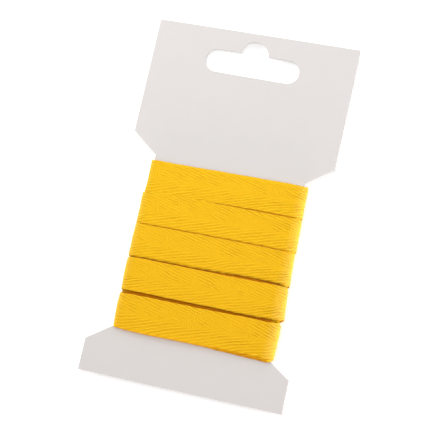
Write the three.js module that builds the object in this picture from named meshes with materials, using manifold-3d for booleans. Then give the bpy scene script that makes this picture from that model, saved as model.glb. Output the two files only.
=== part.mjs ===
// A card of herringbone twill tape.
//
// A flat die-cut card carries one long tape, wound round its waist in five turns side by side and
// several layers deep. Each turn runs straight across the front, folds round the card's right edge,
// slants down across the back to the place of the turn below, and folds round the left edge there.
//
// Millimetres. +X runs along the card's width, +Y from the card's foot to its hang slot, and +Z out
// of its front. The card lies on its back: the winding touches the surface at z = 0, and the origin
// is under the middle of the card.

import * as THREE from 'three';
import { mergeVertices } from 'three/addons/utils/BufferGeometryUtils.js';
import Module from 'manifold-3d';

// The card: a wide upper panel, a waist and a wide lower panel, joined by slanted shoulders. Its die
// cut is a little out of square, so each side has its own corners.
//   edge, waist: distances from the card's middle line
//   lowerHead, waistFoot, waistHead, upperFoot, head: heights of the side's corners above the foot
const CARD_THICKNESS = 0.6;
const CARD_SIDES = {
  left: {
    edge: 34.9, waist: 25.65,
    lowerHead: 10.6, waistFoot: 17.1, waistHead: 75.7, upperFoot: 82.5, head: 122.3,
  },
  right: {
    edge: 34.9, waist: 26.1,
    lowerHead: 11.2, waistFoot: 16.8, waistHead: 75.5, upperFoot: 81.6, head: 122.9,
  },
};
const CARD_HEIGHT = CARD_SIDES.right.head;

// The hang slot: a long slot with round ends and a round bump for a single peg.
const SLOT_LENGTH = 32.6;
const SLOT_HEIGHT = 7.9;
const SLOT_Y = 111.35;
const BUMP_RADIUS = 4.8;
const BUMP_Y = 115.0;
const SLOT_ARC_STEPS = 12;

// The tape and its stack. The stack is counted from the card's face outward.
const TAPE_THICKNESS = 0.3;
const LAYERS = 4;
const CLEARANCE = 0.3;
const STACK_FACE = CARD_THICKNESS / 2 + CLEARANCE + LAYERS * TAPE_THICKNESS;
const UNDER_FACE = STACK_FACE - TAPE_THICKNESS;
const CARD_MIDDLE_Z = STACK_FACE;

// The turns that show, from the top one down. The tape is pulled tight at the left edge of the card
// and stands out in a loose fold at the right one.
//   bottomLeft, bottomRight, topLeft, topRight: the edges of the front run, above the card's foot
//   pinchBottom, pinchTop: how far an edge draws in towards the turn's middle at the folds
//   liftBottomLeft, liftBottomRight, liftTop: how far an edge stands up (or, below 0, rolls down)
//   foldLeft: how far the left fold reaches from the card's middle line
//   foldTopRight, foldBottomRight: the same for the right fold, at the tape's two edges
const TURNS = [
  {
    bottomLeft: 62.4, bottomRight: 63.4, topLeft: 73.55, topRight: 74.05,
    pinchBottom: 0, pinchTop: 0.3,
    liftBottomLeft: 0, liftBottomRight: 0.3, liftTop: -0.45,
    foldLeft: 26.45, foldTopRight: 27.3, foldBottomRight: 27.6,
  },
  {
    bottomLeft: 51.6, bottomRight: 52.4, topLeft: 63.1, topRight: 63.6,
    pinchBottom: 0, pinchTop: 0,
    liftBottomLeft: 0.15, liftBottomRight: 0.3, liftTop: 0.1,
    foldLeft: 26.8, foldTopRight: 27.7, foldBottomRight: 27.9,
  },
  {
    bottomLeft: 40.15, bottomRight: 40.9, topLeft: 51.9, topRight: 52.7,
    pinchBottom: 0, pinchTop: 0,
    liftBottomLeft: 0.15, liftBottomRight: 0.4, liftTop: 0,
    foldLeft: 26.6, foldTopRight: 27.9, foldBottomRight: 28.5,
  },
  {
    bottomLeft: 29.3, bottomRight: 29.6, topLeft: 40.7, topRight: 41.2,
    pinchBottom: 0.3, pinchTop: 0,
    liftBottomLeft: 0.1, liftBottomRight: 0.2, liftTop: 0,
    foldLeft: 26.5, foldTopRight: 28.2, foldBottomRight: 29.2,
  },
  {
    bottomLeft: 16.2, bottomRight: 16.5, topLeft: 28.2, topRight: 28.5,
    pinchBottom: 0.9, pinchTop: 0.6,
    liftBottomLeft: 0, liftBottomRight: 0.15, liftTop: 0,
    foldLeft: 26.4, foldTopRight: 28.3, foldBottomRight: 28.3,
  },
];

// The under layers, as one sleeve, and the trench that they leave between the last two turns.
const SLEEVE_FOOT = 17.4;
const SLEEVE_HEAD = 73.2;
const SLEEVE_LEFT = 26.2;
const SLEEVE_RIGHT = 27.3;
const TRENCH_FOOT = 28.35;
const TRENCH_HEAD = 29.25;
const TRENCH_FLOOR = CARD_THICKNESS / 2 + CLEARANCE + TAPE_THICKNESS;

// Folds are squared-off ellipses that start a little inside the card's edge.
const FOLD_START = 25.0;
const FOLD_POWER = 2.4;
const FOLD_STEPS = 8;
const PINCH_START = 22.5;
const RUN_STEPS = 4;
const STRIPS_ACROSS = 6;
const FUSE = 0.1;
const BACK_EDGE_DROP = 0.15;
const SLANT_EASE = 0.12;
const TAIL_END_X = -12.0;

const LOOKS = {
  card: { color: 0xe3dedb, roughness: 0.8, metalness: 0.0 },
  tape: { color: 0xf3b71d, roughness: 0.85, metalness: 0.0 },
};

const wasm = await Module();
wasm.setup();

function lerp(from, to, share) {
  return from + (to - from) * share;
}

// A slope that starts and stops gently, and is straight in between.
function eased(share) {
  const scale = 2 * SLANT_EASE * (1 - SLANT_EASE);
  if (share < SLANT_EASE) return (share * share) / scale;
  if (share > 1 - SLANT_EASE) return 1 - ((1 - share) * (1 - share)) / scale;
  return (share - SLANT_EASE / 2) / (1 - SLANT_EASE);
}

// A point on the quarter-to-quarter curve of a fold, at an angle from the front (90) to the back (-90).
function foldPoint(reach, halfDepth, angle) {
  const across = Math.max(Math.cos(angle), 0) ** (2 / FOLD_POWER);
  const depth = Math.abs(Math.sin(angle)) ** (2 / FOLD_POWER);
  return [FOLD_START + (reach - FOLD_START) * across, halfDepth * depth * Math.sign(Math.sin(angle))];
}

// --- The card ---------------------------------------------------------------------------------

function slotPath() {
  const endRadius = SLOT_HEIGHT / 2;
  const endX = SLOT_LENGTH / 2 - endRadius;
  const slotTop = SLOT_Y + endRadius;
  const bumpAngle = Math.asin((slotTop - BUMP_Y) / BUMP_RADIUS);
  const path = new THREE.Path();
  path.absarc(endX, SLOT_Y, endRadius, -Math.PI / 2, Math.PI / 2, false);
  path.absarc(0, BUMP_Y, BUMP_RADIUS, bumpAngle, Math.PI - bumpAngle, false);
  path.absarc(-endX, SLOT_Y, endRadius, Math.PI / 2, Math.PI * 1.5, false);
  path.closePath();
  return path;
}

function sideCorners(side, sign) {
  const corners = [
    [side.edge, 0],
    [side.edge, side.lowerHead],
    [side.waist, side.waistFoot],
    [side.waist, side.waistHead],
    [side.edge, side.upperFoot],
    [side.edge, side.head],
  ];
  return corners.map(([x, y]) => new THREE.Vector2(sign * x, y));
}

function cardGeometry() {
  const rightSide = sideCorners(CARD_SIDES.right, 1);
  const leftSide = sideCorners(CARD_SIDES.left, -1).reverse();
  const shape = new THREE.Shape([...rightSide, ...leftSide]);
  shape.holes.push(slotPath());
  const geometry = new THREE.ExtrudeGeometry(shape, {
    depth: CARD_THICKNESS,
    bevelEnabled: false,
    curveSegments: SLOT_ARC_STEPS,
  });
  return geometry.translate(0, 0, -CARD_THICKNESS / 2);
}

// --- The tape ---------------------------------------------------------------------------------

// A strip whose sections are functions of the place across it (0 to 1) and of its side: each gives
// the point there. It is a box with one division for each section, bent into place.
function bentStrip(sections) {
  const divisions = sections.length - 1;
  const geometry = new THREE.BoxGeometry(divisions, 1, 1, divisions, STRIPS_ACROSS, 1);
  const position = geometry.attributes.position;
  for (let i = 0; i < position.count; i += 1) {
    const section = sections[Math.round(position.getX(i) + divisions / 2)];
    const point = section(position.getY(i) + 0.5, position.getZ(i) > 0);
    position.setXYZ(i, ...point);
  }
  return geometry;
}

// The front run of a turn: its outer side follows the lifts of its edges.
function frontRun(turn) {
  const sections = [];
  for (const x of [-FOLD_START, -PINCH_START, 0, PINCH_START]) {
    const share = (x + FOLD_START) / (2 * FOLD_START);
    const pinch = x === -FOLD_START ? 1 : 0;
    const bottom = lerp(turn.bottomLeft, turn.bottomRight, share) + pinch * turn.pinchBottom;
    const top = lerp(turn.topLeft, turn.topRight, share) - pinch * turn.pinchTop;
    const liftBottom = lerp(turn.liftBottomLeft, turn.liftBottomRight, share);
    sections.push((across, outer) => {
      let face = STACK_FACE;
      if (across === 0) face += liftBottom;
      if (across === 1) face += turn.liftTop;
      const z = outer ? face : Math.min(UNDER_FACE, face - TAPE_THICKNESS) - FUSE;
      return [x, lerp(bottom, top, across), z];
    });
  }
  return sections;
}

// The two edges of a turn where it folds, drawn in from those of its front run.
function foldEdges(turn, side) {
  return [turn[`bottom${side}`] + turn.pinchBottom, turn[`top${side}`] - turn.pinchTop];
}

// The right fold, the slanting back run and the left fold that lead from one turn to the next.
function wayRound(turn, next) {
  const sections = [];
  const count = 2 * FOLD_STEPS + RUN_STEPS;
  for (let step = 0; step <= count; step += 1) {
    const slant = eased(step / count);
    const from = foldEdges(turn, 'Right');
    const to = foldEdges(next, 'Left');
    const height = (across) => lerp(lerp(from[0], to[0], slant), lerp(from[1], to[1], slant), across);
    if (step <= FOLD_STEPS) {
      sections.push(rightFold(turn, step / FOLD_STEPS, height));
    } else if (step < FOLD_STEPS + RUN_STEPS) {
      sections.push(backRun((step - FOLD_STEPS) / RUN_STEPS, height));
    } else {
      sections.push(leftFold(next, (step - FOLD_STEPS - RUN_STEPS) / FOLD_STEPS, height));
    }
  }
  return sections;
}

// How far the outer side stands from the middle of the card on a fold: it takes up the edge lifts of
// the front run as it leaves the front, and the drop of the back run's edges as it reaches the back.
function foldDepth(across, angle, liftBottom, liftTop) {
  const atFront = Math.max(Math.sin(angle), 0) ** 4;
  const atBack = Math.max(-Math.sin(angle), 0) ** 4;
  let depth = STACK_FACE;
  if (across === 0) depth += liftBottom * atFront;
  if (across === 1) depth += liftTop * atFront;
  if (across === 0 || across === 1) depth -= BACK_EDGE_DROP * atBack;
  return depth;
}

function rightFold(turn, share, height) {
  const angle = lerp(Math.PI / 2, -Math.PI / 2, share);
  return (across, outer) => {
    const reach = lerp(turn.foldBottomRight, turn.foldTopRight, across);
    const depth = foldDepth(across, angle, turn.liftBottomRight, turn.liftTop);
    const [x, z] = outer
      ? foldPoint(reach, depth, angle)
      : foldPoint(SLEEVE_RIGHT - FUSE, Math.min(UNDER_FACE, depth - TAPE_THICKNESS) - FUSE, angle);
    return [x, height(across), z];
  };
}

function leftFold(turn, share, height) {
  const angle = lerp(-Math.PI / 2, Math.PI / 2, share);
  return (across, outer) => {
    const depth = foldDepth(across, angle, turn.liftBottomLeft, turn.liftTop);
    const [x, z] = outer
      ? foldPoint(turn.foldLeft, depth, angle)
      : foldPoint(SLEEVE_LEFT - FUSE, Math.min(UNDER_FACE, depth - TAPE_THICKNESS) - FUSE, angle);
    return [-x, height(across), z];
  };
}

function backRun(share, height) {
  const x = lerp(FOLD_START, -FOLD_START, share);
  return (across, outer) => {
    const atEdge = across === 0 || across === 1;
    const face = atEdge ? STACK_FACE - BACK_EDGE_DROP : STACK_FACE;
    return [x, height(across), outer ? -face : FUSE - UNDER_FACE];
  };
}

// The start of the last layer: a straight run up the back of the top turn and its left fold.
function leadIn(turn) {
  const sections = [];
  const height = (across) => lerp(...foldEdges(turn, 'Left'), across);
  for (let step = 0; step < RUN_STEPS; step += 1) sections.push(backRun(step / RUN_STEPS, height));
  for (let step = 0; step <= FOLD_STEPS; step += 1) {
    sections.push(leftFold(turn, step / FOLD_STEPS, height));
  }
  return sections;
}

// The end of the tape: the last turn's right fold and a straight tail, cut off square on the back.
function tail(turn) {
  const sections = frontRun(turn);
  const height = (across) => lerp(...foldEdges(turn, 'Right'), across);
  for (let step = 0; step <= FOLD_STEPS; step += 1) {
    sections.push(rightFold(turn, step / FOLD_STEPS, height));
  }
  const tailShare = (FOLD_START - TAIL_END_X) / (2 * FOLD_START);
  for (let step = 1; step <= RUN_STEPS; step += 1) {
    sections.push(backRun((tailShare * step) / RUN_STEPS, height));
  }
  return sections;
}

// The closed outline of the sleeve, seen along the card's height, with the tunnel for the waist.
function sleeveShape() {
  const outline = [];
  for (const side of [1, -1]) {
    const reach = side > 0 ? SLEEVE_RIGHT : SLEEVE_LEFT;
    for (let step = 0; step <= 2 * FOLD_STEPS; step += 1) {
      const angle = lerp(-Math.PI / 2, Math.PI / 2, step / (2 * FOLD_STEPS));
      const [x, z] = foldPoint(reach, UNDER_FACE, angle);
      outline.push(new THREE.Vector2(side * x, side * z));
    }
  }
  const shape = new THREE.Shape(outline);
  const left = -CARD_SIDES.left.waist - CLEARANCE;
  const right = CARD_SIDES.right.waist + CLEARANCE;
  const halfHeight = CARD_THICKNESS / 2 + CLEARANCE;
  shape.holes.push(new THREE.Path([
    new THREE.Vector2(left, -halfHeight),
    new THREE.Vector2(left, halfHeight),
    new THREE.Vector2(right, halfHeight),
    new THREE.Vector2(right, -halfHeight),
  ]));
  return shape;
}

function sleeveGeometry() {
  const depth = SLEEVE_HEAD - SLEEVE_FOOT;
  const geometry = new THREE.ExtrudeGeometry(sleeveShape(), { depth, bevelEnabled: false });
  return geometry.rotateX(Math.PI / 2).translate(0, SLEEVE_HEAD, 0);
}

function trenchGeometry() {
  const depth = STACK_FACE - TRENCH_FLOOR;
  const geometry = new THREE.BoxGeometry(2 * CARD_SIDES.right.edge, TRENCH_HEAD - TRENCH_FOOT, depth);
  return geometry.translate(0, (TRENCH_HEAD + TRENCH_FOOT) / 2, TRENCH_FLOOR + depth / 2);
}

function toSolid(geometry) {
  geometry.deleteAttribute('normal');
  geometry.deleteAttribute('uv');
  const merged = mergeVertices(geometry);
  return new wasm.Manifold(new wasm.Mesh({
    numProp: 3,
    vertProperties: merged.attributes.position.array,
    triVerts: Uint32Array.from(merged.index.array),
  }));
}

function toGeometry(solid) {
  const mesh = solid.getMesh();
  const geometry = new THREE.BufferGeometry();
  geometry.setAttribute('position', new THREE.BufferAttribute(mesh.vertProperties, 3));
  geometry.setIndex(new THREE.BufferAttribute(mesh.triVerts, 1));
  geometry.computeVertexNormals();
  return geometry;
}

function tapeGeometry() {
  let winding = toSolid(sleeveGeometry()).subtract(toSolid(trenchGeometry()));
  winding = winding.add(toSolid(bentStrip(leadIn(TURNS[0]))));
  for (let row = 0; row < TURNS.length - 1; row += 1) {
    const sections = [...frontRun(TURNS[row]), ...wayRound(TURNS[row], TURNS[row + 1])];
    winding = winding.add(toSolid(bentStrip(sections)));
  }
  winding = winding.add(toSolid(bentStrip(tail(TURNS[TURNS.length - 1]))));
  return toGeometry(winding);
}

// --- The part ---------------------------------------------------------------------------------

function namedMesh(name, geometry) {
  const mesh = new THREE.Mesh(geometry, new THREE.MeshStandardMaterial(LOOKS[name]));
  mesh.name = name;
  mesh.position.set(0, -CARD_HEIGHT / 2, CARD_MIDDLE_Z);
  return mesh;
}

const cardOfTape = new THREE.Group();
cardOfTape.add(namedMesh('card', cardGeometry()));
cardOfTape.add(namedMesh('tape', tapeGeometry()));

export default cardOfTape;
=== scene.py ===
# A card of herringbone twill tape. A flat die-cut board carries one long woven tape, wound round its
# waist in five rows side by side and four layers deep.
#
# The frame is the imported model's: metres, X along the board's width, Y from its foot to its hang slot
# and Z out of its front. The tables below are in millimetres, with heights measured from the board's
# foot and depths from the middle of its thickness.

import math
import random

import bmesh
import bpy
import numpy as np
from bpy.props import FloatProperty, FloatVectorProperty, IntProperty, PointerProperty
from mathutils import Matrix, Vector


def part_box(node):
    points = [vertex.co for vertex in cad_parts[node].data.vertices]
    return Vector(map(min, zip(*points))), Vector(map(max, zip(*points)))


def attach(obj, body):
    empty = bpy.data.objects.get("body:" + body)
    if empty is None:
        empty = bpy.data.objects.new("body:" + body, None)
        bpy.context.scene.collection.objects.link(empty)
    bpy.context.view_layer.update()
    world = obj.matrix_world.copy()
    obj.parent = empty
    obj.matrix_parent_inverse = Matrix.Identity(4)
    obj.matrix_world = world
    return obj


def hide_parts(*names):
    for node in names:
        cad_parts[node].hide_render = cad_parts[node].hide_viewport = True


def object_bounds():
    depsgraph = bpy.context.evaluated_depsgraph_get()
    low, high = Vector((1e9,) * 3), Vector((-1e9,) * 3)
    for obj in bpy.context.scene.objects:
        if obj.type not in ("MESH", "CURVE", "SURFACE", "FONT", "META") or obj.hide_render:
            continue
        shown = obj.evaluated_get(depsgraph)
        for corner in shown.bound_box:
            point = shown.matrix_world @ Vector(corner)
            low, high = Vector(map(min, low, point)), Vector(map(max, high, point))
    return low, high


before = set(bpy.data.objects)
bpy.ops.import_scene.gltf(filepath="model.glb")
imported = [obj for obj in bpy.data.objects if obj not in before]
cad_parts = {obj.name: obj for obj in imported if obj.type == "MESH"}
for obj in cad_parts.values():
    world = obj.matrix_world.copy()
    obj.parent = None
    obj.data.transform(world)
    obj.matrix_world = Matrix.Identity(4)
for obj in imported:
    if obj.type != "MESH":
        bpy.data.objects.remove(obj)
CAD_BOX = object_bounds()
BOARD_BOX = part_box("card")
BOARD_FOOT = (0.0, BOARD_BOX[0].y, (BOARD_BOX[0].z + BOARD_BOX[1].z) / 2)

bl_info = {
    "name": "Card of Twill Tape",
    "version": (1, 0, 0),
    "blender": (4, 5, 0),
    "location": "3D View > Sidebar > Tape Card",
    "description": "Builds a die-cut card with a long herringbone tape wound round its waist",
    "category": "Add Mesh",
}

MM = 0.001

# The board: corners of its two sides, from the foot up, as distance from the middle line and height.
LEFT_SIDE = (
    (34.9, 0.0), (34.9, 10.6), (25.65, 17.1), (25.65, 75.7), (34.9, 82.5), (34.9, 122.3),
)
RIGHT_SIDE = (
    (34.9, 0.0), (34.9, 11.2), (26.1, 16.8), (26.1, 75.5), (34.9, 81.6), (34.9, 122.9),
)
SLOT_LENGTH = 32.6
SLOT_HEIGHT = 7.9
SLOT_Y = 111.35
BUMP_RADIUS = 4.8
BUMP_Y = 115.0
SLOT_ARC_STEPS = 40
EDGE_ROUND_STEPS = 3

# The tape's path round the board, counted in even turns: a run between the two fold starts on the front,
# the right fold, a run on the back and the left fold. The tables' left and right are KEY_X off the middle.
TAPE_WIDTH = 11.8
LAYERS = 4
ROWS = 5
FOLD_START = 25.0
RUN_PATH = 2 * FOLD_START
FOLD_PATH = 8.0
HALF_TURN = RUN_PATH + FOLD_PATH
TURN_PATH = 2 * HALF_TURN
KEY_X = 23.0
START_X = 5.0
END_X = -12.0

# The true length of a turn, as a share of an even one, and where it puts the start of the last layer.
TRUE_SHARE = 0.955
LAST_LAYER_PATH = (LAYERS - 1) * ROWS * TURN_PATH * TRUE_SHARE

# The folds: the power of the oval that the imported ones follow, and where and how sharply a run of the
# last layer bends down to its own.
PACKED_POWER = 2.8
SHOULDER_X = 22.0
SHOULDER_POWER = 4.0

# Depths of a layer's middle, from the middle of the board, on its front and on its back. Rows tilt, one
# edge over the other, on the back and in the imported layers. The run under the tape's end is pressed in.
FRONT_FIRST = 0.5
FRONT_STEP = 0.37
BACK_FIRST = 0.47
BACK_STEP = 0.335
BACK_TILT = 0.15
PACKED_TILT = 0.06
LAST_RUN_PRESS = 0.17

# The rows of the last layer, from the top one down. Heights of each edge are given at the left fold,
# at the left, in the middle, at the right and at the right fold.
#   lift: how far an edge stands off the winding at the left, in the middle and at the right
#   roll: how far an edge rolls down over the layers below, at the same places
#   left, right: how far the folds reach out, at the bottom edge, in the middle and at the top edge
FLAT = (0.0, 0.0, 0.0)
FLAT_EDGES = {"lift_bottom": FLAT, "lift_top": FLAT, "roll_bottom": FLAT, "roll_top": FLAT}
LAST_LAYER = (
    {
        "bottom": (62.5, 62.5, 63.15, 63.5, 63.35),
        "top": (73.72, 73.7, 74.05, 74.3, 74.18),
        "lift_bottom": (0.0, 0.0, 0.2),
        "roll_bottom": (0.1, 0.1, 0.1),
        "roll_top": (0.4, 0.8, 1.0),
        "left": (26.4, 26.4, 26.45),
        "right": (27.75, 27.7, 27.55),
    },
    {
        "bottom": (51.75, 51.8, 52.1, 52.22, 52.15),
        "top": (62.4, 62.85, 63.03, 63.0, 62.92),
        "lift_top": (0.1, 0.05, 0.0),
        "roll_bottom": (0.1, 0.1, 0.12),
        "roll_top": (0.12, 0.08, 0.0),
        "left": (26.85, 26.9, 27.0),
        "right": (28.18, 27.98, 27.82),
    },
    {
        "bottom": (40.3, 40.42, 40.65, 41.12, 40.75),
        "top": (51.45, 51.54, 51.76, 51.76, 51.6),
        "roll_bottom": (0.4, 0.5, 0.45),
        "left": (26.8, 26.92, 26.92),
        "right": (28.48, 28.15, 27.93),
    },
    {
        "bottom": (28.95, 28.95, 29.0, 29.2, 29.62),
        "top": (39.86, 40.08, 40.15, 40.38, 40.42),
        "roll_bottom": (0.1, 0.15, 0.35),
        "left": (26.6, 26.92, 26.95),
        "right": (29.12, 28.65, 28.2),
    },
    {
        "bottom": (16.65, 16.1, 16.28, 16.52, 16.36),
        "top": (27.6, 27.8, 27.92, 28.15, 27.98),
        "lift_bottom": (0.0, 0.05, 0.15),
        "roll_bottom": (0.2, 0.1, 0.0),
        "left": (26.42, 26.72, 26.72),
        "right": (28.58, 28.56, 28.5),
    },
)

# The layers below, from the innermost one out: the heights of each row's bottom edge at the same five
# places, rows from the top one down.
PACKED_FEET = (
    (
        (61.3, 61.3, 61.3, 61.3, 61.5),
        (50.5, 50.6, 50.6, 50.7, 50.9),
        (39.2, 39.2, 39.2, 39.0, 39.0),
        (27.9, 27.5, 27.5, 27.3, 27.3),
        (16.3, 15.88, 15.93, 15.4, 15.25),
    ),
    (
        (61.3, 61.3, 61.4, 61.4, 61.2),
        (51.0, 50.8, 50.8, 50.7, 50.5),
        (40.4, 40.9, 41.0, 41.3, 40.6),
        (28.2, 29.5, 29.4, 29.3, 28.4),
        (16.4, 16.0, 16.03, 15.68, 15.5),
    ),
    (
        (61.2, 61.3, 61.3, 61.4, 61.5),
        (50.5, 50.7, 50.7, 50.8, 51.0),
        (40.4, 41.15, 41.3, 41.5, 40.5),
        (28.9, 29.4, 29.3, 29.12, 29.55),
        (16.45, 16.05, 16.14, 16.0, 15.8),
    ),
)
PACKED_WIDTH = 11.75

# How much painted shade the tape's colour takes, for the shade in the seams and at the foot of the
# winding:
# two layers down or more, from the start to the end of the layer under the last, and in the last. There is
# less of it below one height and beyond one distance from the middle, though it fades less at the right of
# the foot. On the folds of the last layer it falls below 0, over PALE_BLEND, for a painted sheen there.
PAINTED_SHADES = (1.0, 0.55, 0.55, 0.0)
FOOT_OPEN = 20.0
FOLD_OPEN = 24.5
OPEN_BLEND = 2.0
OPEN_FADE = 0.85
FOOT_SHUT = 14.0
SHUT_SHARE = 0.5
PALE_BLEND = 4.0

# How far the folds of the layers below reach out, from the innermost layer, rows from the top one down.
PACKED_LEFT = (
    (25.95, 25.95, 25.95, 25.95, 25.95),
    (26.15, 26.2, 26.2, 26.2, 26.15),
    (26.3, 26.55, 26.55, 26.5, 26.35),
)
PACKED_RIGHT = (
    (26.4, 26.5, 26.6, 26.7, 26.6),
    (26.9, 27.1, 27.3, 27.4, 27.4),
    (27.35, 27.65, 27.95, 27.95, 27.95),
)

# Top edges of the rows under the last layer that leave a seam open above them, by layer and row.
PACKED_TOPS = {
    (1, 3): (40.1, 40.5, 40.6, 40.9, 40.3),
    (2, 3): (40.1, 39.8, 39.9, 40.1, 40.2),
    (2, 4): (28.2, 27.4, 27.5, 28.05, 28.75),
}

# How much further out than its top edge the bottom edge of such a row reaches on its right fold.
PACKED_FLARE = {(1, 3): 0.4, (2, 3): 0.5}

# How far in from an edge a lift or a roll reaches, and the places modelled across the tape.
LIFT_REACH = 2.0
ROLL_REACH = 1.15
HALF_PLACES = (0.0, 0.1, 0.3, 0.65, 1.1, 1.7, 2.5, 3.5, 4.7)

# Shares of the thickness at the outermost places, and how much of it a left fold loses at its tip.
SELVEDGE_ROUND = (0.0, 0.8, 1.0)
FOLD_PRESS = 0.32

# Stations along one turn: front run, each fold and back run, for the last layer and for the others, and
# those of the lead-in. Shares of a back run at which its edges are given.
LAST_STEPS = (64, 16, 32)
PACKED_STEPS = (20, 10, 16)
LEAD_IN_STEPS = 8
BACK_SHARES = (0.06, 0.5, 0.94)

# The waves that the tape wanders in: their lengths, how slowly and how much its depth sways, and how far
# the reach of a fold moves along them across the tape and from one fold to the next.
WAVE_LENGTHS = (3.7, 6.1, 11.0, 23.0)
SWAY_PACE = 0.4
SWAY_SHARE = 0.5
REACH_PACE = 9
REACH_SHIFT = 31.0

# The map that the weave is baked through, in millimetres: a full-size strip for the outward side of each
# turn that shows, small strips in columns for everything else, and the two cut ends above them.
BAKE_MAP = "OFBake"
BAKE_SIDE = 118.0
BAKE_GAP = 0.4
FULL_SIZE_TURN = (LAYERS - 1) * ROWS - 1
FULL_SIZE_STRIPS = LAYERS * ROWS - FULL_SIZE_TURN
FULL_SIZE_STEP = TAPE_WIDTH + BAKE_GAP
SMALL_SCALE = 0.25
SMALL_COLUMNS = 4
SMALL_ROWS = 9
SMALL_STEP = TAPE_WIDTH * SMALL_SCALE + BAKE_GAP
CUT_END_HEIGHT = 0.3

# The board's finish. A pattern is given as its fineness, its detail and its roughness.
PULP_CLOUDS = (160.0, 4.0, 0.6)
PULP_FIBRES = ((900.0, 2600.0, 2600.0), 3.0, 0.6)
PULP_FLECKS = (1500.0, 2.0, 0.5)
PULP_GRAIN = (3500.0, 2.0, 0.6)
FLECK_RANGE = (0.68, 0.76)
FLECK_SHADE = 0.035
FIBRE_MOTTLE = 0.6
FIBRE_HEIGHT = 0.7
BOARD_ROUGHNESS = (0.78, 0.88)

# The weave: warp ends above and below the line where the twill turns, a weft pick, and the four of each
# that make up one rib.
TURN_LINE = 0.3
TURN_BLEND = 0.1
UPPER_PITCH = 0.243
LOWER_PITCH = 0.265
PICK_PITCH = 0.875
RIB_ENDS = 4.0

# Patterns of the weave, and how many ribs the first three shift it by.
DRIFT = ((0.07, 0.16, 1.0), 1.0)
TWIST = ((0.2, 0.3, 1.0), 1.0)
JITTER = (0.8, 1.0)
DRIFT_RIBS = 1.2
TWIST_RIBS = 0.5
JITTER_RIBS = 0.5
WEAVE_CLOUDS = (0.13, 2.0)
WEAVE_FUZZ = (2.4, 4.0, 0.75)
BROKEN_PICKS = (0.9, 2.0, 0.6)
BROKEN_RANGE = (0.35, 0.65)

# How far the ribs stand up: by cloudy patches in each half, dash by dash along a rib, less near the
# turning line, not at all in bare patches of the middle, and more towards the right folds.
PATCH_RANGE = (0.36, 0.6)
RAISED_ABOVE = (0.4, 0.94)
RAISED_BELOW = (0.79, 1.04)
TURN_REACH = 2.2
DASHES = ((0.3, 1.1, 0.3), 1.0)
DASH_RANGE = (0.3, 0.66)
RAISED_DASH = (0.4, 1.0)
BARE = ((0.19, 0.12, 1.0), 1.0)
BARE_RANGE = (0.5, 0.6)
BARE_FOOT = (-2.0, -0.8)
BARE_HEAD = (2.8, 4.8)
RELIEF = 0.95
RELIEF_RIGHT = (0.2, 6.0, 20.0)
RELIEF_FOLD = (0.35, 22.5, 26.0)
PICK_HEIGHT = (0.1, 0.6)

# How much of the lit colour shows over the valleys' painted shade: its middle, what it loses along the
# last layer towards its lower rows, and what the clouds, the fuzz, the selvedge and the ridges add. Then
# how far the folds' painted sheen covers it, what single ends and the fuzz add to the height, and the
# roughness of valleys and of ridges.
LIT_MIDDLE = 0.52
LIT_LOWER_ROWS = 0.07
LIT_CLOUDS = 0.1
LIT_FUZZ = 0.3
LIT_SELVEDGE = 0.03
LIT_RIDGE = 0.5
SELVEDGE_RANGE = (5.45, 5.8)
PAINTED_SHEEN_SHARE = 0.17
END_HEIGHT = 0.04
FUZZ_HEIGHT = 0.15
TAPE_ROUGHNESS = (0.88, 0.8)

# The camera: looking down on the card from a little below and right of its middle, and turned.
CAMERA_PLACE = (0.10627, -0.06504, 0.45958)
CAMERA_TARGET = (0.00101, -0.0034, 0.0021)
CAMERA_ROLL = 12.85
CAMERA_LENS = 116.9
CAMERA_SENSOR = 36.0

# The floor: its side, how its glow grows and between which distances, and how its shade varies.
FLOOR_SIZE = 12.0
FLOOR_GLOW = (1.0, 4.0)
GLOW_RANGE = (0.2, 0.9)
FLOOR_SHADE = (0.995, 1.005)
FLOOR_CLOUDS = 40.0

# The even light from all round, and the soft lights: where each one stands, aimed at the card, the size
# of its square face and its colour.
SURROUND_COLOUR = (1.0, 0.965, 0.96)
WHITE = (1.0, 1.0, 1.0)
ROSE = (1.0, 0.8, 0.75)
SOFT_LIGHTS = {
    "key": ((-0.13, 0.24, 0.27), 0.25, WHITE),
    "top": ((0.0, 0.5, 0.25), 0.3, WHITE),
    "front": ((-0.05, 0.05, 0.5), 0.3, WHITE),
    "left": ((-0.5, 0.0, 0.12), 0.25, WHITE),
    "right": ((0.5, -0.03, 0.1), 0.25, WHITE),
    "foot": ((0.05, -0.5, 0.035), 0.06, ROSE),
}


# --- Settings --------


def colour_setting(name, description, default):
    """A colour that a user can change."""
    return FloatVectorProperty(
        name=name, description=description, default=default, min=0.0, max=1.0, size=3, subtype="COLOR"
    )


def length_setting(name, description, default, low, high):
    """A small length that a user can change."""
    return FloatProperty(
        name=name, description=description, default=default, min=low, max=high, precision=5, unit="LENGTH"
    )


def power_setting(name, light, default):
    """The power of a light that a user can change."""
    about = "Power of the " + light
    return FloatProperty(name=name, description=about, default=default, min=0.0, max=100.0, unit="POWER")


class BoardSettings(bpy.types.PropertyGroup):
    """Finish of the die-cut board."""

    edge_radius: length_setting(
        "Edge radius", "How far the die rounds the edges of the board", 0.00007, 0.00001, 0.0002
    )
    colour: colour_setting("Colour", "Colour of the uncoated board", (0.66, 0.632, 0.617))
    # The cut edge is darker: partly the pulp's own grey, partly painted shade on the walls of the cuts.
    edge_pulp_and_shade_colour: colour_setting(
        "Edge colour", "Colour of the pulp where the die has cut the board", (0.34, 0.322, 0.31)
    )
    mottle: FloatProperty(
        name="Mottle",
        description="How much the grey of the pulp varies from place to place",
        default=0.03,
        min=0.0, max=0.3,
        subtype="FACTOR",
    )


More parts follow.
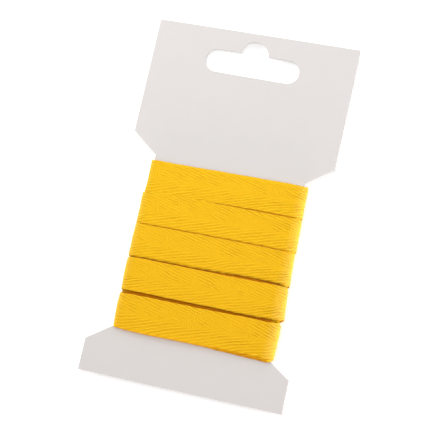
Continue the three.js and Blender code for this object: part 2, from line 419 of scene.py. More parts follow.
class TapeSettings(bpy.types.PropertyGroup):
    """Make of the woven tape and the way it is wound."""

    thickness: length_setting(
        "Thickness", "Thickness of the tape in the last layer", 0.00028, 0.0001, 0.0003
    )
    packed_thickness: length_setting(
        "Packed thickness", "Thickness of the tape in the layers below", 0.0002, 0.0001, 0.00028
    )
    unevenness: length_setting(
        "Unevenness", "How far the edges of the tape wander from a smooth line", 0.00005, 0.0, 0.0002
    )
    seed: IntProperty(
        name="Seed",
        description="Number that the wandering of the edges is drawn from",
        default=7,
        min=0,
    )
    colour: colour_setting("Colour", "Colour of the yarn where it is lit", (0.945, 0.64, 0.0182))
    # Painted shade: the yarn's colour between the ribs, darkened as if unlit; the ridges take the lit
    # colour.
    shaded_valley_colour: colour_setting(
        "Valley colour", "Colour of the yarn between the ribs", (0.725, 0.30, 0.001)
    )
    # Tint of the painted shade in the seams between rows and at the foot of the winding.
    painted_shade_tint: colour_setting(
        "Packed tint", "How the colour deepens where no light has reached", (0.66, 0.38, 0.03)
    )
    # Colour of a painted sheen that pales the yarn on the folds of the last layer.
    painted_sheen_colour: colour_setting(
        "Fluff colour", "Colour of the loose fibres that stand out on the folds", (1.0, 0.82, 0.35)
    )
    sheen: FloatProperty(
        name="Sheen",
        description="Soft shine of the cotton fibres",
        default=0.12,
        min=0.0, max=1.0,
        subtype="FACTOR",
    )


class StageSettings(bpy.types.PropertyGroup):
    """Floor and lights round the card."""

    floor_colour: colour_setting("Floor colour", "Colour of the pale floor", (0.8, 0.8, 0.8))
    floor_glow: FloatProperty(
        name="Floor glow",
        description="Light that the lit floor gives off by itself",
        default=0.38,
        min=0.0, max=3.0,
    )
    surround: FloatProperty(
        name="Surround",
        description="Brightness of the even light from all round",
        default=0.13,
        min=0.0, max=5.0,
    )
    key_power: power_setting("Key light", "light above the card's upper left", 0.46)
    top_power: power_setting("Top light", "low light beyond the card's head", 1.0)
    front_power: power_setting("Front light", "light straight above the card", 0.875)
    left_power: power_setting("Left light", "low light at the left", 1.75)
    right_power: power_setting("Right light", "low light at the right", 3.1)
    foot_power: power_setting("Foot light", "low light before the card's foot", 1.5)


# --- Shader maths --------


class Wire:
    """A node's output, to be worked out with numbers and other outputs."""

    def __init__(self, finish, socket):
        self.finish = finish
        self.socket = socket

    def maths(self, operation, *values):
        return self.finish.add("ShaderNodeMath", {"operation": operation}, dict(enumerate(values)))

    def __add__(self, other):
        return self.maths("ADD", self, other)

    __radd__ = __add__

    def __sub__(self, other):
        return self.maths("SUBTRACT", self, other)

    def __rsub__(self, other):
        return self.maths("SUBTRACT", other, self)

    def __mul__(self, other):
        return self.maths("MULTIPLY", self, other)

    __rmul__ = __mul__

    def __truediv__(self, other):
        return self.maths("DIVIDE", self, other)

    def __rtruediv__(self, other):
        return self.maths("DIVIDE", other, self)

    def size(self):
        return self.maths("ABSOLUTE", self)

    def step(self, low, high):
        """0 up to low, 1 from high on, and smooth in between."""
        settings = {"interpolation_type": "SMOOTHSTEP"}
        return self.finish.add("ShaderNodeMapRange", settings, {0: self, 1: low, 2: high})

    def between(self, low, high):
        """low where it is 0 and high where it is 1."""
        return low + (high - low) * self

    def wave(self):
        """From 0 to 1 and back in every unit step."""
        return 0.5 + 0.5 * self.maths("SINE", self * (2 * math.pi))

    def hump(self):
        """1 in the middle of every unit step and 0 at its ends, as round as a yarn."""
        across = 2.0 * self.maths("FRACT", self) - 1.0
        return 1.0 - across * across


class Finish:
    """A material and the ways in which its nodes are added."""

    def __init__(self, name):
        self.material = bpy.data.materials.new(name)
        self.material.use_nodes = True
        self.tree = self.material.node_tree
        self.tree.nodes.clear()

    def add(self, kind, settings=None, inputs=None, output=0):
        """Adds a node, sets it up, feeds its inputs and gives one of its outputs."""
        node = self.tree.nodes.new(kind)
        for setting, value in (settings or {}).items():
            setattr(node, setting, value)
        for name, value in (inputs or {}).items():
            socket = node.inputs[name]
            if isinstance(value, Wire):
                self.tree.links.new(value.socket, socket)
            else:
                socket.default_value = value
        return Wire(self, node.outputs[output] if node.outputs else None)

    def colour(self, rgb):
        return (*rgb, 1.0)

    def mix(self, factor, first, second):
        """A colour between two others."""
        settings = {"data_type": "RGBA", "clamp_factor": True}
        return self.add("ShaderNodeMix", settings, {0: factor, 6: first, 7: second}, 2)

    def tint(self, colour, amount):
        """A colour scaled by a number, as a vector."""
        return self.add("ShaderNodeVectorMath", {"operation": "SCALE"}, {0: colour, "Scale": amount})

    def noise(self, place, fineness, detail=2.0, roughness=0.5):
        inputs = {"Vector": place, "Scale": fineness, "Detail": detail, "Roughness": roughness}
        return self.add("ShaderNodeTexNoise", None, inputs)

    def product(self, first, second):
        """Two vectors or colours multiplied part by part."""
        return self.add("ShaderNodeVectorMath", {"operation": "MULTIPLY"}, {0: first, 1: second})

    def grained(self, place, fineness, detail, roughness=0.5):
        """Noise of its own fineness along each coordinate, for a pattern with a grain."""
        return self.noise(self.product(place, fineness), 1.0, detail, roughness)

    def place(self):
        """The place on the piece, in metres."""
        return self.add("ShaderNodeTexCoord", None, None, "Object")

    def part(self, vector, name):
        """One coordinate of a vector, by its letter."""
        return self.add("ShaderNodeSeparateXYZ", None, {0: vector}, name)

    def surface(self, inputs):
        """The shader itself, joined to the material's output."""
        shader = self.add("ShaderNodeBsdfPrincipled", None, inputs)
        self.add("ShaderNodeOutputMaterial", None, {"Surface": shader})
        return self.material


def board_finish(settings, name, rgb):
    """Uncoated board: cloudy pulp, short fibres and a slightly rough face."""
    finish = Finish(name)
    place = finish.place()
    clouds = finish.noise(place, *PULP_CLOUDS)
    fibres = finish.grained(place, *PULP_FIBRES)
    flecks = finish.noise(place, *PULP_FLECKS).step(*FLECK_RANGE)
    mottle = (clouds - 0.5) + FIBRE_MOTTLE * (fibres - 0.5)
    shade = 1.0 + settings.mottle * mottle - FLECK_SHADE * flecks
    height = FIBRE_HEIGHT * fibres + (1.0 - FIBRE_HEIGHT) * finish.noise(place, *PULP_GRAIN)
    bump = {"Strength": 0.35, "Distance": 0.00002, "Height": height}
    return finish.surface({
        "Base Color": finish.tint(tuple(rgb), shade),
        "Roughness": fibres.between(*BOARD_ROUGHNESS),
        "Specular IOR Level": 0.25,
        "Normal": finish.add("ShaderNodeBump", None, bump),
    })


def tape_finish(settings):
    """Herringbone twill: smooth ribs that slant one way in the tape's upper half and the other way in
    its lower half, raised unevenly, with single picks showing here and there between them."""
    finish = Finish("herringbone_cotton")
    place = finish.add("ShaderNodeAttribute", {"attribute_name": "thread_place"}, None, "Vector")
    along = finish.part(place, "X")
    across = finish.part(place, "Y")
    shade_and_sheen = finish.part(place, "Z")
    upper = across.step(TURN_LINE - TURN_BLEND, TURN_LINE + TURN_BLEND)
    from_turn = (across - TURN_LINE).size()
    end = from_turn / upper.between(LOWER_PITCH, UPPER_PITCH)
    pick = along / PICK_PITCH
    drift = DRIFT_RIBS * finish.grained(place, *DRIFT)
    twist = TWIST_RIBS * upper * finish.grained(place, *TWIST)
    jitter = JITTER_RIBS * finish.noise(place, *JITTER)
    rib_number = (end + pick) / RIB_ENDS + drift + twist + jitter
    clouds = finish.noise(place, *WEAVE_CLOUDS)
    patchy = clouds.step(*PATCH_RANGE)
    above = patchy.between(*RAISED_ABOVE)
    below = patchy.between(*RAISED_BELOW) * from_turn.step(0.0, TURN_REACH)
    lane = finish.add("ShaderNodeCombineXYZ", None, {0: along, 1: rib_number, 2: across})
    dash = finish.grained(lane, *DASHES).step(*DASH_RANGE)
    raised = dash.between(*RAISED_DASH) * upper.between(below, above)
    loose = across.step(*BARE_FOOT) * (1.0 - across.step(*BARE_HEAD))
    bare = finish.grained(place, *BARE).step(*BARE_RANGE) * loose
    side = finish.part(finish.place(), "X") / MM
    relief = RELIEF
    for added, low, high in (RELIEF_RIGHT, RELIEF_FOLD):
        relief = relief + added * side.step(low, high)
    ridge = relief * raised * (1.0 - bare) * (rib_number.wave() - 0.5)
    broken = finish.noise(place, *BROKEN_PICKS).step(*BROKEN_RANGE)
    ridge = ridge + bare.between(*PICK_HEIGHT) * broken * (pick.wave() - 0.5)
    fuzz = finish.noise(place, *WEAVE_FUZZ)
    # Less lit colour along the last layer, towards its lower rows.
    lower_rows = along.step(LAST_LAYER_PATH, LAST_LAYER_PATH + ROWS * TURN_PATH)
    lit = LIT_MIDDLE - LIT_LOWER_ROWS * lower_rows + LIT_CLOUDS * (clouds - 0.5) + LIT_FUZZ * (fuzz - 0.5)
    lit = lit + LIT_SELVEDGE * across.size().step(*SELVEDGE_RANGE) + LIT_RIDGE * ridge
    # The yarn between its shaded and its lit colour: painted shade in the valleys, painted light on the
    # ridges.
    yarn = finish.mix(lit, finish.colour(settings.shaded_valley_colour), finish.colour(settings.colour))
    # Painted shade from the thread places' third value: it darkens the layers under the last where they
    # show.
    painted_shade_factor = finish.mix(shade_and_sheen, finish.colour(WHITE), finish.colour(settings.painted_shade_tint))
    painted_fold_sheen = finish.colour(settings.painted_sheen_colour)
    height = ridge + END_HEIGHT * end.hump() + FUZZ_HEIGHT * fuzz
    bump = {"Strength": 1.0, "Distance": 0.0002, "Height": height}
    return finish.surface({
        # The painted sheen covers the colour on the folds, where the third thread value falls below 0.
        "Base Color": finish.mix(0.0 - PAINTED_SHEEN_SHARE * shade_and_sheen, finish.product(yarn, painted_shade_factor), painted_fold_sheen),
        "Roughness": ridge.between(*TAPE_ROUGHNESS),
        "Specular IOR Level": 0.1,
        "Sheen Weight": settings.sheen,
        "Sheen Roughness": 0.4,
        "Sheen Tint": (1.0, 0.85, 0.45, 1.0),
        "Normal": finish.add("ShaderNodeBump", None, bump),
    })


def floor_finish(settings):
    """A plain pale floor, barely uneven, with a faint glow of its own that grows beyond the lights."""
    finish = Finish("pale_floor")
    place = finish.place()
    shade = finish.noise(place, FLOOR_CLOUDS).between(*FLOOR_SHADE)
    distance = finish.add("ShaderNodeVectorMath", {"operation": "LENGTH"}, {0: place}, "Value")
    glow = distance.step(*GLOW_RANGE).between(*FLOOR_GLOW)
    return finish.surface({
        "Base Color": finish.tint(tuple(settings.floor_colour), shade),
        "Roughness": 0.9,
        "Specular IOR Level": 0.1,
        "Emission Color": finish.tint(WHITE, glow),
        "Emission Strength": settings.floor_glow,
    })


def add_object(name, data):
    """Puts an object into the scene."""
    added = bpy.data.objects.new(name, data)
    bpy.context.scene.collection.objects.link(added)
    return added


# --- The board --------


def board_outline():
    """The outer cut, counter-clockwise."""
    return np.array(list(RIGHT_SIDE) + [(-x, y) for x, y in reversed(LEFT_SIDE)])


def arc(centre, radius, start, end):
    """Points of an arc from one angle to another."""
    angles = np.linspace(start, end, SLOT_ARC_STEPS + 1)
    return [(centre[0] + radius * math.cos(a), centre[1] + radius * math.sin(a)) for a in angles]


def slot_outline():
    """The hang slot's cut, clockwise, so that the board is on the left of it too."""
    end_radius = SLOT_HEIGHT / 2
    end_x = SLOT_LENGTH / 2 - end_radius
    bump_angle = math.asin((SLOT_Y + end_radius - BUMP_Y) / BUMP_RADIUS)
    points = arc((end_x, SLOT_Y), end_radius, -math.pi / 2, math.pi / 2)
    points += arc((0.0, BUMP_Y), BUMP_RADIUS, bump_angle, math.pi - bump_angle)
    points += arc((-end_x, SLOT_Y), end_radius, math.pi / 2, math.pi * 1.5)
    return np.array(points)[::-1]


def drawn_in(loop, inset):
    """A closed loop moved to its left by inset, with mitred corners."""
    step = np.roll(loop, -1, axis=0) - loop
    step /= np.linalg.norm(step, axis=1)[:, None]
    normal = np.stack([-step[:, 1], step[:, 0]], axis=1)
    before = np.roll(normal, 1, axis=0)
    mitre = (before + normal) / (1.0 + (before * normal).sum(axis=1))[:, None]
    return loop + mitre * inset


def board_sections(half, radius):
    """Insets and depths of the cut edge, from the front face to the back face."""
    turns = [math.pi / 2 * step / EDGE_ROUND_STEPS for step in range(EDGE_ROUND_STEPS + 1)]
    front = [(radius * (1 - math.sin(t)), half - radius * (1 - math.cos(t))) for t in turns]
    return front + [(inset, -depth) for inset, depth in reversed(front)]


def add_loop(mesh, loop, sections):
    """Adds the cut edge along one loop and gives its rings of corners."""
    rings = []
    for inset, depth in sections:
        rings.append([mesh.verts.new((x, y, depth)) for x, y in drawn_in(loop, inset)])
    for number, (upper, lower) in enumerate(zip(rings, rings[1:])):
        for index, corner in enumerate(upper):
            after = (index + 1) % len(upper)
            face = mesh.faces.new((corner, upper[after], lower[after], lower[index]))
            face.smooth = True
            # The walls of the cut take the second material, with the pulp's grey and painted shade.
            face.material_index = 1 if number == EDGE_ROUND_STEPS else 0
    return rings


def ring_edges(mesh, ring):
    """The edges along one ring of corners."""
    return [mesh.edges.get((corner, ring[index - 1])) for index, corner in enumerate(ring)]


def board_mesh(thickness, radius):
    """The board with its cut edges, its first material on the faces and its second on the cuts."""
    mesh = bmesh.new()
    sections = board_sections(thickness / 2, radius)
    rings = [add_loop(mesh, loop, sections) for loop in (board_outline(), slot_outline())]
    for face_ring in (0, -1):
        edges = [edge for loop in rings for edge in ring_edges(mesh, loop[face_ring])]
        bmesh.ops.triangle_fill(mesh, use_beauty=True, use_dissolve=False, edges=edges)
        for edge in edges:
            edge.smooth = False
    bmesh.ops.recalc_face_normals(mesh, faces=mesh.faces)
    to_frame = Matrix.Translation(BOARD_FOOT) @ Matrix.Scale(MM, 4)
    bmesh.ops.transform(mesh, matrix=to_frame, verts=mesh.verts)
    data = bpy.data.meshes.new("board")
    mesh.to_mesh(data)
    mesh.free()
    return data


# --- The tape --------


def course_rows():
    """Layer and row of every pass across the front, in the order of winding."""
    order = []
    for layer in range(LAYERS):
        rows = range(ROWS) if layer % 2 else reversed(range(ROWS))
        order += [(layer, row) for row in rows]
    return order


def course_shape(layer, row):
    """The edges, lifts, rolls and reaches of one pass, as in the table of the last layer."""
    if layer == LAYERS - 1:
        return {**FLAT_EDGES, **LAST_LAYER[row]}
    bottom = PACKED_FEET[layer][row]
    right = PACKED_RIGHT[layer][row]
    flare = PACKED_FLARE.get((layer, row), 0.0)
    return {
        **FLAT_EDGES,
        "bottom": bottom,
        "top": PACKED_TOPS.get((layer, row), tuple(foot + PACKED_WIDTH for foot in bottom)),
        "left": (PACKED_LEFT[layer][row],) * 3,
        "right": (right + flare, right + flare / 2, right),
    }


def smooth_line(places, heights, wanted):
    """A smooth curve through the given heights, read at the wanted places."""
    slopes = np.gradient(heights, places)
    index = np.clip(np.searchsorted(places, wanted, side="right") - 1, 0, len(places) - 2)
    gap = places[index + 1] - places[index]
    t = np.clip((wanted - places[index]) / gap, 0.0, 1.0)
    start = (1 + 2 * t) * (1 - t) ** 2 * heights[index] + t * (1 - t) ** 2 * gap * slopes[index]
    end = t * t * (3 - 2 * t) * heights[index + 1] + t * t * (t - 1) * gap * slopes[index + 1]
    return start + end


class Winding:
    """The tape's whole path: everything that changes along it, read at a place on the path."""

    def __init__(self, unevenness, seed):
        order = course_rows()
        self.last = len(order) - 1
        self.layers = np.array([layer for layer, row in order])
        self.shapes = [course_shape(layer, row) for layer, row in order]
        self.edge_keys = {name: self.edge_line(name) for name in ("bottom", "top")}
        self.unevenness = unevenness
        draw = random.Random(seed).uniform
        self.wander = {
            name: [(length, draw(0, 2 * math.pi)) for length in WAVE_LENGTHS]
            for name in ("bottom", "top", "depth", "reach")
        }

    def waves(self, name, path):
        """How far the waves of one name lead off, mostly between -1 and 1."""
        total = sum(np.sin(2 * math.pi * path / length + phase) for length, phase in self.wander[name])
        return total / 2

    def edge_line(self, name):
        """Places on the path and heights of one edge, with the slanting runs across the back."""
        places = [-HALF_TURN]
        heights = [self.shapes[0][name][0]]
        for number, shape in enumerate(self.shapes):
            middle = number * TURN_PATH + FOLD_START
            places += [middle + offset for offset in (-HALF_TURN / 2, -KEY_X, 0.0, KEY_X, HALF_TURN / 2)]
            heights += list(shape[name])
            here = shape[name][-1]
            there = self.shapes[number + 1][name][0] if number < self.last else here
            widen = self.slant_widening(number, name)
            for share in BACK_SHARES:
                places.append(middle + HALF_TURN / 2 + share * HALF_TURN)
                heights.append(here + (there - here) * share + widen)
        return np.array(places), np.array(heights)

    def slant_widening(self, number, name):
        """A slanting run takes up more height than a level one: each edge's part of that."""
        after = self.shapes[min(number + 1, self.last)]
        here = self.shapes[number]
        drop = after["bottom"][0] - here["bottom"][-1] if number < self.last else 0.0
        wanted = TAPE_WIDTH * math.hypot(HALF_TURN, drop) / HALF_TURN
        width = here["top"][-1] - here["bottom"][-1]
        if number < self.last:
            width = (width + after["top"][0] - after["bottom"][0]) / 2
        return (wanted - width) / 2 * (1 if name == "top" else -1)

    def edge(self, name, path):
        """Height of one edge along the path, with its wandering."""
        places, heights = self.edge_keys[name]
        return smooth_line(places, heights, path) + self.unevenness * self.waves(name, path)

    def stations(self):
        """Places on the path where a section of the tape is modelled."""
        lead_in = START_X + FOLD_START + FOLD_PATH
        path = [np.linspace(-lead_in, -FOLD_PATH, LEAD_IN_STEPS)[:-1]]
        for number, layer in enumerate(self.layers):
            start = number * TURN_PATH
            front, fold, back = LAST_STEPS if layer == LAYERS - 1 else PACKED_STEPS
            path.append(start + np.linspace(-FOLD_PATH, 0.0, fold, endpoint=False))
            path.append(start + np.linspace(0.0, RUN_PATH, front, endpoint=False))
            path.append(start + np.linspace(RUN_PATH, HALF_TURN, fold, endpoint=False))
            length = RUN_PATH if number < self.last else FOLD_START - END_X
            path.append(start + HALF_TURN + np.linspace(0.0, length, back, endpoint=False))
        path.append([start + HALF_TURN + length])
        return np.concatenate(path)

    def along_turn(self, path):
        """For each place: its course, its place on that turn, its angle from 90 degrees on the front
        to -90 on the back, whether it is on a right or a left fold, and its X on a flat run."""
        course = np.floor((path + FOLD_PATH) / TURN_PATH).astype(int)
        local = path - course * TURN_PATH
        course = np.clip(course, 0, self.last)
        angle = np.full(len(path), math.pi / 2)
        right = (local > RUN_PATH) & (local < HALF_TURN)
        left = local < 0
        angle[right] = math.pi / 2 - math.pi * (local[right] - RUN_PATH) / FOLD_PATH
        angle[left] = -math.pi / 2 + math.pi * (local[left] + FOLD_PATH) / FOLD_PATH
        angle[local >= HALF_TURN] = -math.pi / 2
        flat_x = np.where(local >= HALF_TURN, FOLD_START - (local - HALF_TURN), local - FOLD_START)
        return course, local, angle, right, left, flat_x

    def keys(self, name, course):
        """The three values of one name for the course that each place is on."""
        return np.array([shape[name] for shape in self.shapes])[course].T

    def across_keys(self, name, course, shares):
        """A curve through the three values of a row, read at shares of the way across the tape."""
        bottom, middle, top = self.keys(name, course)[:, :, None]
        bow = middle - (bottom + top) / 2
        return bottom + (top - bottom) * shares + bow * 4 * shares * (1 - shares)

    def along_keys(self, name, course, local):
        """A value given at the left, in the middle and at the right, read along the front run."""
        share = np.clip((local - FOLD_START) / KEY_X, -1.0, 1.0)
        left, middle, right = self.keys(name, course)
        return middle + (right - left) / 2 * share + ((right + left) / 2 - middle) * share * share

    def front_depth(self, course, local, path, shares):
        """How far in front of the board's middle the tape runs, with its lifted and rolled edges."""
        layers = self.layers[course]
        depth = (FRONT_FIRST + FRONT_STEP * layers)[:, None] + 0 * shares
        for edge, distance in (("bottom", shares * TAPE_WIDTH), ("top", (1 - shares) * TAPE_WIDTH)):
            lift = self.along_keys("lift_" + edge, course, local)[:, None]
            roll = self.along_keys("roll_" + edge, course, local)[:, None]
            depth = depth + lift * np.clip(1 - distance / LIFT_REACH, 0, 1) ** 2
            depth = depth - roll * np.clip(1 - distance / ROLL_REACH, 0, 1) ** 2
        tilt = np.where(layers == LAYERS - 1, 0.0, np.where(layers % 2 == 1, 1.0, -1.0))
        depth = depth + PACKED_TILT * tilt[:, None] * (2 * shares - 1)
        sway = self.waves("depth", path * SWAY_PACE)[:, None] * np.sin(math.pi * shares)
        return depth + SWAY_SHARE * self.unevenness * sway

    def back_depth(self, course, local, shares):
        """How far behind the board's middle the tape runs, with each row shingled over the last."""
        here = self.layers[course]
        after = self.layers[np.minimum(course + 1, self.last)]
        layer = here + (after - here) * np.clip((local - HALF_TURN) / RUN_PATH, 0.0, 1.0)
        outermost = np.clip(layer - (LAYERS - 2), 0.0, 1.0)
        tilt = PACKED_TILT + (BACK_TILT - PACKED_TILT) * outermost
        way = np.where(np.round(layer) % 2 == 1, 1.0, -1.0)
        pressed = np.where(local < 0, course == self.last, course == self.last - 1)
        depth = BACK_FIRST + BACK_STEP * layer - LAST_RUN_PRESS * pressed
        return depth[:, None] + (tilt * way)[:, None] * (2 * shares - 1)

    def side_reach(self, side_course, at_right, shares):
        """How far out the fold that a place leads to or lies on reaches."""
        right, left = (self.across_keys(side, side_course, shares) for side in ("right", "left"))
        wander = self.waves("reach", shares * REACH_PACE + side_course[:, None] * REACH_SHIFT)
        return np.where(at_right[:, None], right, left) + self.unevenness * wander

    def surface(self, path, shares):
        """For each place on the path: points of the tape's middle surface at the shares of the way
        across it, what the fold leaves of its thickness, and its layer."""
        course, local, angle, right, left, flat_x = self.along_turn(path)
        folded = right | left
        at_right = np.where(folded, right, flat_x > 0)
        on_back = local >= HALF_TURN
        side_course = np.minimum(np.where(on_back & ~at_right, course + 1, course), self.last)
        loose = self.layers[side_course] == LAYERS - 1
        shares = shares[None, :] + 0 * path[:, None]
        reach = self.side_reach(side_course, at_right, shares)
        out = np.maximum(np.cos(angle), 0.0) ** np.where(loose, 1.0, 2 / PACKED_POWER)
        fold_x = FOLD_START + (reach - FOLD_START) * out[:, None]
        distance = np.where(folded[:, None], fold_x, np.abs(flat_x)[:, None])
        x = np.where(at_right, 1.0, -1.0)[:, None] * distance
        bend = np.clip((distance - SHOULDER_X) / (reach - SHOULDER_X), 0.0, 1.0) ** SHOULDER_POWER
        packed_swing = np.abs(np.sin(angle)) ** (2 / PACKED_POWER)
        swing = np.where(loose[:, None], np.sqrt(1.0 - bend), packed_swing[:, None])
        swing = swing * np.sign(np.sin(angle))[:, None]
        bottom = self.edge("bottom", path)[:, None]
        top = self.edge("top", path)[:, None]
        y = bottom + (top - bottom) * shares
        front = self.front_depth(course, local, path, shares)
        back = self.back_depth(course, local, shares)
        z = np.maximum(swing, 0.0) * front + np.minimum(swing, 0.0) * back
        pressed = 1.0 - FOLD_PRESS * np.where(left, out, 0.0)
        return np.stack([x, y, z], axis=2), pressed, self.layers[course]


def across_places():
    """Shares of the way across the tape where it is modelled, closest at its edges."""
    low = np.array(HALF_PLACES) / TAPE_WIDTH
    return np.concatenate([low, [0.5], 1 - low[::-1]])


def round_ring(shares):
    """The same shares once round a section: up its outward side and down its inward one."""
    return np.concatenate([shares, shares[-2:0:-1]])


def strip_place(turn, inward):
    """Left end, lower edge and scale of a turn's strip on the bake map. The lead-in is turn -1."""
    if turn >= FULL_SIZE_TURN and not inward:
        return 0.0, (turn - FULL_SIZE_TURN) * FULL_SIZE_STEP, 1.0
    slot = turn + 1 + (FULL_SIZE_TURN + 1 if inward else 0)
    row, column = divmod(slot, SMALL_COLUMNS)
    left = column * (TURN_PATH * SMALL_SCALE + BAKE_GAP)
    low = FULL_SIZE_STRIPS * FULL_SIZE_STEP + row * SMALL_STEP
    return left, low, SMALL_SCALE


def strip_places(path, shares):
    """Places on the bake map of the corners of the faces along the tape."""
    width_places = np.concatenate([shares, shares[-2::-1]]) * TAPE_WIDTH
    inward = np.arange(len(width_places) - 1) >= len(shares) - 1
    turns = np.floor(((path[:-1] + path[1:]) / 2 + FOLD_PATH) / TURN_PATH)
    begins = turns * TURN_PATH - FOLD_PATH
    places = np.empty((len(turns), len(inward), 4, 2))
    for side in (False, True):
        strips = np.array([strip_place(turn, side) for turn in turns])
        left, low, scale = strips.T[:, :, None]
        near = low + scale * width_places[:-1][inward == side]
        far = low + scale * width_places[1:][inward == side]
        here = left + scale * (path[:-1] - begins)[:, None] + 0 * near
        there = left + scale * (path[1:] - begins)[:, None] + 0 * near
        along = np.stack([here, there, there, here], axis=2)
        across = np.stack([near, near, far, far], axis=2)
        places[:, inward == side] = np.stack([along, across], axis=3)
    return places.reshape(-1, 2)


def cut_end_places(faces, shares):
    """Places on the bake map of the corners of the cut ends' faces."""
    low = FULL_SIZE_STRIPS * FULL_SIZE_STEP + SMALL_ROWS * SMALL_STEP
    ring_shares = round_ring(shares)
    places = []
    for corner in (corner for face in faces for corner in face):
        station, place = divmod(corner, len(ring_shares))
        left = FULL_SIZE_STEP if station else 0.0
        height = CUT_END_HEIGHT if place >= len(shares) else 0.0
        places.append((left + ring_shares[place] * TAPE_WIDTH, low + height))
    return np.array(places)


def thread_places(corners, path, along, ring_shares):
    """For each corner: its place along and across the tape, and how much painted shade its colour takes,
    below
    0 for a painted sheen."""
    last_two = [layer * ROWS * TURN_PATH - FOLD_PATH for layer in (LAYERS - 2, LAYERS - 1)]
    changes = [place for start in last_two for place in (start - RUN_PATH, start)]
    shades = np.interp(path, changes, PAINTED_SHADES)[:, None]
    beyond_fold = np.abs(corners[:, :, 0]) - FOLD_OPEN
    by_a_fold = np.clip(beyond_fold / OPEN_BLEND, 0.0, 1.0)
    by_the_foot = np.clip((FOOT_OPEN - corners[:, :, 1]) / OPEN_BLEND, 0.0, 1.0)
    shut = SHUT_SHARE * by_the_foot * np.clip(corners[:, :, 0] / FOOT_SHUT, 0.0, 1.0)
    opened = np.maximum(by_the_foot, by_a_fold) - shut
    threads = np.zeros(corners.shape)
    threads[:, :, 0] = along[:, None]
    threads[:, :, 1] = (ring_shares - 0.5)[None, :] * TAPE_WIDTH
    # Painted shade, thinned at the foot and on the folds; below 0, a painted sheen on the folds of the
    # last layer.
    threads[:, :, 2] = shades * (1.0 - OPEN_FADE * opened)
    threads[:, :, 2] -= (1.0 - shades) * np.clip(beyond_fold / PALE_BLEND, 0.0, 1.0)
    return threads


def tape_arrays(settings):
    """Corners and thread places of the tape, the stations along it and the shares of the way across it
    that they stand at, and its length. All in millimetres."""
    winding = Winding(settings.unevenness / MM, settings.seed)
    path = winding.stations()
    shares = across_places()
    middle, pressed, layers = winding.surface(path, shares)
    last = layers == LAYERS - 1
    thickness = np.where(last, settings.thickness, settings.packed_thickness) / MM * pressed
    normal = np.cross(np.gradient(middle, axis=0), np.gradient(middle, axis=1))
    normal /= np.linalg.norm(normal, axis=2)[:, :, None]
    rounding = np.ones(len(shares))
    rounding[: len(SELVEDGE_ROUND)] = SELVEDGE_ROUND
    rounding[-len(SELVEDGE_ROUND):] = SELVEDGE_ROUND[::-1]
    half = thickness[:, None, None] / 2 * rounding[None, :, None]
    inner = middle - normal * half
    corners = np.concatenate([middle + normal * half, inner[:, -2:0:-1]], axis=1)
    centre = middle[:, len(shares) // 2]
    along = np.concatenate([[0.0], np.cumsum(np.linalg.norm(np.diff(centre, axis=0), axis=1))])
    threads = thread_places(corners, path, along, round_ring(shares))
    return corners, threads, path, shares, along[-1]


def ring_faces(stations, ring, across):
    """Corner numbers of the faces along the tape, and of its two cut ends."""
    index = np.arange(stations * ring).reshape(stations, ring)
    after = np.roll(index, -1, axis=1)
    sides = np.stack([index[:-1], index[1:], after[1:], after[:-1]], axis=2).reshape(-1, 4)
    outer = np.arange(across)
    inner = np.concatenate([[0], np.arange(ring - 1, across - 1, -1), [across - 1]])
    ends = []
    for station, flip in ((0, False), (stations - 1, True)):
        for k in range(across - 1):
            corners = [outer[k], outer[k + 1], inner[k + 1], inner[k]]
            corners = list(dict.fromkeys(station * ring + corner for corner in corners))
            ends.append(corners[::-1] if flip else corners)
    return sides.tolist(), ends


def tape_object(settings):
    """The tape as an object with its thread places and its bake map, and its length in metres."""
    corners, threads, path, shares, length = tape_arrays(settings)
    stations, ring = corners.shape[:2]
    sides, ends = ring_faces(stations, ring, len(shares))
    places = corners.reshape(-1, 3) * MM + np.array(BOARD_FOOT)
    data = bpy.data.meshes.new("twill_tape")
    data.from_pydata(places.tolist(), [], sides + ends)
    data.polygons.foreach_set("use_smooth", [True] * len(data.polygons))
    # Thread places: along and across the tape, and the painted shade and sheen of its colour.
    attribute = data.attributes.new("thread_place", "FLOAT_VECTOR", "POINT")
    attribute.data.foreach_set("vector", threads.reshape(-1).astype(np.float32))
    bake_places = np.concatenate([strip_places(path, shares), cut_end_places(ends, shares)])
    bake_places = (bake_places + BAKE_GAP / 2) / BAKE_SIDE
    layer = data.uv_layers.new(name=BAKE_MAP)
    layer.data.foreach_set("uv", bake_places.reshape(-1).astype(np.float32))
    data.update()
    return add_object("twill_tape", data), length * MM


# --- Making each piece --------


class TAPECARD_OT_add_board(bpy.types.Operator):
    """Add the die-cut board with its hang slot"""

    bl_idname = "tapecard.add_board"
    bl_label = "Add Board"

    def execute(self, context):
        settings = context.scene.tapecard_board
        thickness = (BOARD_BOX[1].z - BOARD_BOX[0].z) / MM
        data = board_mesh(thickness, settings.edge_radius / MM)
        piece = add_object("board", data)
        data.materials.append(board_finish(settings, "uncoated_board", settings.colour))
        # The cut edges: the pulp's darker grey together with painted shade.
        data.materials.append(board_finish(settings, "cut_board_edge", settings.edge_pulp_and_shade_colour))
        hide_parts("card")
        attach(piece, "root")
        return {"FINISHED"}


class TAPECARD_OT_add_tape(bpy.types.Operator):
    """Add the tape, wound round the waist of the board"""

    bl_idname = "tapecard.add_tape"
    bl_label = "Add Tape"

    def execute(self, context):
        settings = context.scene.tapecard_tape
        piece, length = tape_object(settings)
        piece.data.materials.append(tape_finish(settings))
        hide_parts("tape")
        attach(piece, "root")
        return {"FINISHED"}


def add_soft_light(name, power, place, size, colour):
    """A square lamp that stands at a place and faces the card."""
    lamp = bpy.data.lights.new(name, "AREA")
    lamp.shape = "SQUARE"
    lamp.size = size
    lamp.energy = power
    lamp.color = colour
    holder = add_object(name, lamp)
    holder.location = place
    holder.rotation_euler = (-Vector(place)).to_track_quat("-Z", "Y").to_euler()


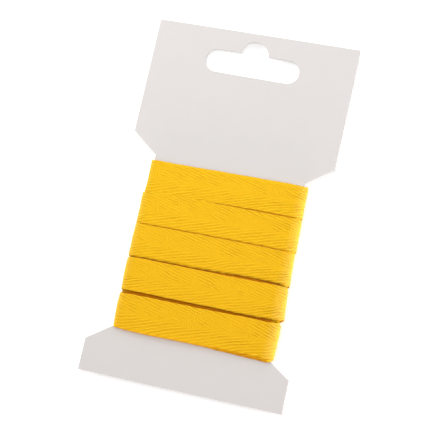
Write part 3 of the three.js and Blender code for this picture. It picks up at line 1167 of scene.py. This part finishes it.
def add_camera():
    """The camera, held level, aimed and then rolled."""
    data = bpy.data.cameras.new("camera")
    data.sensor_width = CAMERA_SENSOR
    data.lens = CAMERA_LENS
    place = Vector(CAMERA_PLACE)
    back = (place - Vector(CAMERA_TARGET)).normalized()
    level = Vector((0.0, 1.0, 0.0)).cross(back).normalized()
    upright = back.cross(level)
    roll = math.radians(CAMERA_ROLL)
    right = math.cos(roll) * level + math.sin(roll) * upright
    up = math.cos(roll) * upright - math.sin(roll) * level
    camera = add_object("camera", data)
    camera.matrix_world = Matrix.Translation(place) @ Matrix((right, up, back)).transposed().to_4x4()
    bpy.context.scene.camera = camera


class TAPECARD_OT_add_stage(bpy.types.Operator):
    """Add the pale floor, the soft lights and the camera"""

    bl_idname = "tapecard.add_stage"
    bl_label = "Add Stage"

    def execute(self, context):
        settings = context.scene.tapecard_stage
        data = bpy.data.meshes.new("floor")
        half = FLOOR_SIZE / 2
        level = CAD_BOX[0].z
        corners = [(-half, -half, level), (half, -half, level), (half, half, level), (-half, half, level)]
        data.from_pydata(corners, [], [(0, 1, 2, 3)])
        data.materials.append(floor_finish(settings))
        floor = add_object("floor", data)
        world = bpy.data.worlds.new("surround")
        world.use_nodes = True
        sky = world.node_tree.nodes["Background"]
        sky.inputs["Color"].default_value = (*SURROUND_COLOUR, 1.0)
        sky.inputs["Strength"].default_value = settings.surround
        context.scene.world = world
        context.scene.view_settings.view_transform = "Standard"
        for name, stand in SOFT_LIGHTS.items():
            add_soft_light(name + "_light", getattr(settings, name + "_power"), *stand)
        add_camera()
        return {"FINISHED"}


class TAPECARD_PT_main(bpy.types.Panel):
    """Sizes, colours and pieces of the card of tape"""

    bl_idname = "TAPECARD_PT_main"
    bl_label = "Tape Card"
    bl_space_type = "VIEW_3D"
    bl_region_type = "UI"
    bl_category = "Tape Card"

    def draw(self, context):
        layout = self.layout
        for group, kind, operator in STEPS:
            box = layout.box()
            for name in kind.__annotations__:
                box.prop(getattr(context.scene, group), name)
            box.operator(operator.bl_idname)


STEPS = (
    ("tapecard_stage", StageSettings, TAPECARD_OT_add_stage),
    ("tapecard_board", BoardSettings, TAPECARD_OT_add_board),
    ("tapecard_tape", TapeSettings, TAPECARD_OT_add_tape),
)


def register():
    for group, kind, operator in STEPS:
        bpy.utils.register_class(kind)
        bpy.utils.register_class(operator)
        setattr(bpy.types.Scene, group, PointerProperty(type=kind))
    bpy.utils.register_class(TAPECARD_PT_main)


def unregister():
    bpy.utils.unregister_class(TAPECARD_PT_main)
    for group, kind, operator in reversed(STEPS):
        delattr(bpy.types.Scene, group)
        bpy.utils.unregister_class(operator)
        bpy.utils.unregister_class(kind)


def main():
    register()
    bpy.ops.tapecard.add_stage()
    bpy.ops.tapecard.add_board()
    bpy.ops.tapecard.add_tape()


if __name__ == "__main__":
    main()
